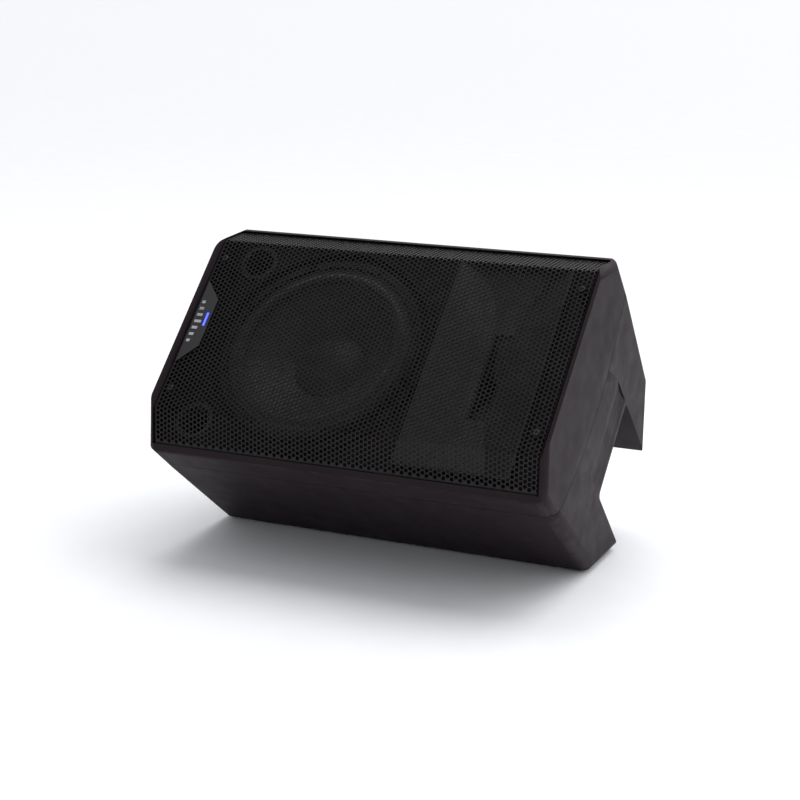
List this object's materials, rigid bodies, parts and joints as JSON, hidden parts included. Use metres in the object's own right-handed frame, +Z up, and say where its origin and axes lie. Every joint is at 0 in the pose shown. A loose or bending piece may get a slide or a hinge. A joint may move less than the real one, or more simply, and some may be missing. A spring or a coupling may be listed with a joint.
{
  "type": "stage monitor wedge",
  "caption": "Powered two-way stage monitor wedge: woofer and horn behind a folded grille, winged rear shell, rear amplifier panel, handle and pole socket.",
  "frame": {"origin": "on the floor, under the middle of the cabinet's box as it lies on its lower wing", "axes": "+X along the cabinet towards its handle end, -Y towards the listener, +Z up"},
  "size_m": [0.526, 0.3736, 0.3736],
  "materials": {
    "cabinet_plastic": "fine moulded grain, satin",
    "grille_steel": "black powder coat on perforated steel",
    "screw_black": "black oxide",
    "badge_plastic": "satin black",
    "badge_metal": "brushed",
    "led_blue": "lit blue lens",
    "basket_alloy": "black coated casting",
    "rubber_black": "matt",
    "surround_cloth": "treated cloth",
    "cone_paper": "treated paper",
    "copper_wire": "enamelled winding",
    "spider_cloth": "resin-treated cloth",
    "zinc_steel": "zinc plated",
    "magnet_ferrite": "sintered ferrite",
    "horn_plastic": "satin black",
    "diaphragm_metal": "thin foil",
    "panel_metal": "textured black",
    "board_laminate": "solder mask",
    "brass": "machined",
    "sink_alloy": "black anodised",
    "transformer_core": "ferrite core and tape",
    "capacitor_sleeve": "sleeved can",
    "knob_plastic": "soft black",
    "socket_plastic": "black nylon",
    "latch_metal": "plated",
    "button_plastic": "grey",
    "led_green": "lens",
    "rocker_plastic": "black",
    "handle_plastic": "moulded",
    "lead_sheath": "insulated wire"
  },
  "bodies": {
    "cabinet": {"front_moulding": "cabinet_plastic", "rear_shell": "cabinet_plastic", "grille": "grille_steel", "grille_screws": "screw_black", "case_screws": "screw_black", "badge_plate": "badge_plastic", "badge_emblem": "badge_metal", "power_led_lens": "led_blue", "woofer_basket": "basket_alloy", "woofer_gasket": "rubber_black", "woofer_surround": "surround_cloth", "woofer_spider": "spider_cloth", "woofer_top_plate": "zinc_steel", "woofer_magnet": "magnet_ferrite", "woofer_yoke": "zinc_steel", "woofer_screws": "screw_black", "horn_waveguide": "horn_plastic", "horn_screws": "screw_black", "driver_top_plate": "zinc_steel", "driver_bolts": "zinc_steel", "driver_phase_plug": "horn_plastic", "driver_magnet": "magnet_ferrite", "driver_yoke": "zinc_steel", "driver_rear_cap": "badge_plastic", "bass_ports": "horn_plastic", "amp_panel": "panel_metal", "amp_gasket": "rubber_black", "amp_screws": "screw_black", "amp_board": "board_laminate", "board_standoffs": "brass", "heat_sink": "sink_alloy", "power_transformer": "transformer_core", "filter_capacitors": "capacitor_sleeve", "potentiometers": "zinc_steel", "input_socket_1": "socket_plastic", "input_socket_2": "socket_plastic", "link_socket": "socket_plastic", "button_switches": "socket_plastic", "panel_leds": "led_green", "power_inlet": "socket_plastic", "rocker_frame": "socket_plastic", "handle_cup": "handle_plastic", "pole_socket": "handle_plastic", "base_feet": "rubber_black", "wedge_pads": "rubber_black", "bracket_inserts": "brass", "speaker_leads": "lead_sheath"},
    "cone_assembly": {"woofer_cone": "cone_paper", "woofer_dust_cap": "cone_paper", "voice_coil": "copper_wire"},
    "diaphragm": {"driver_diaphragm": "diaphragm_metal"},
    "gain_knob_1": {"gain_knob_1": "knob_plastic"},
    "master_knob": {"master_knob": "knob_plastic"},
    "gain_knob_2": {"gain_knob_2": "knob_plastic"},
    "voicing_button": {"voicing_button": "button_plastic"},
    "ground_button": {"ground_button": "button_plastic"},
    "socket_latch_1": {"socket_latch_1": "latch_metal"},
    "socket_latch_2": {"socket_latch_2": "latch_metal"},
    "fuse_drawer": {"fuse_drawer": "socket_plastic"},
    "power_rocker": {"power_rocker": "rocker_plastic"}
  },
  "joints": [
    {"name": "cone_travel", "type": "slide", "parent": "cabinet", "child": "cone_assembly", "axis": [0, -0.7071, 0.7071], "range_m": [-0.006, 0.006], "stiffness_N_per_m": 6000, "deforming": ["woofer_surround", "woofer_spider"]},
    {"name": "diaphragm_travel", "type": "slide", "parent": "cabinet", "child": "diaphragm", "axis": [0, -0.7071, 0.7071], "range_m": [-0.0004, 0.0004], "stiffness_N_per_m": 5000},
    {"name": "gain_knob_1_turn", "type": "hinge", "parent": "cabinet", "child": "gain_knob_1", "pos_m": [0.131, 0.0252, 0.11352], "axis": [0, 0.7071, -0.7071], "range_deg": [-150, 150]},
    {"name": "master_knob_turn", "type": "hinge", "parent": "cabinet", "child": "master_knob", "pos_m": [0.131, 0.04924, 0.13756], "axis": [0, 0.7071, -0.7071], "range_deg": [-150, 150]},
    {"name": "gain_knob_2_turn", "type": "hinge", "parent": "cabinet", "child": "gain_knob_2", "pos_m": [0.131, 0.07328, 0.1616], "axis": [0, 0.7071, -0.7071], "range_deg": [-150, 150]},
    {"name": "voicing_button_press", "type": "slide", "parent": "cabinet", "child": "voicing_button", "axis": [0, -0.7071, 0.7071], "range_m": [0, 0.003], "stiffness_N_per_m": 350, "springref_m": -0.002},
    {"name": "ground_button_press", "type": "slide", "parent": "cabinet", "child": "ground_button", "axis": [0, -0.7071, 0.7071], "range_m": [0, 0.003], "stiffness_N_per_m": 350, "springref_m": -0.002},
    {"name": "socket_latch_1_press", "type": "slide", "parent": "cabinet", "child": "socket_latch_1", "axis": [0, -0.7071, 0.7071], "range_m": [0, 0.0016], "stiffness_N_per_m": 500, "springref_m": -0.001},
    {"name": "socket_latch_2_press", "type": "slide", "parent": "cabinet", "child": "socket_latch_2", "axis": [0, -0.7071, 0.7071], "range_m": [0, 0.0016], "stiffness_N_per_m": 500, "springref_m": -0.001},
    {"name": "fuse_drawer_pull", "type": "slide", "parent": "cabinet", "child": "fuse_drawer", "axis": [0, 0.7071, -0.7071], "range_m": [0, 0.015]},
    {"name": "power_rocker_tilt", "type": "hinge", "parent": "cabinet", "child": "power_rocker", "pos_m": [-0.127, 0.06091, 0.15418], "axis": [0, 0.7071, 0.7071], "range_deg": [-18, 0]}
  ]
}
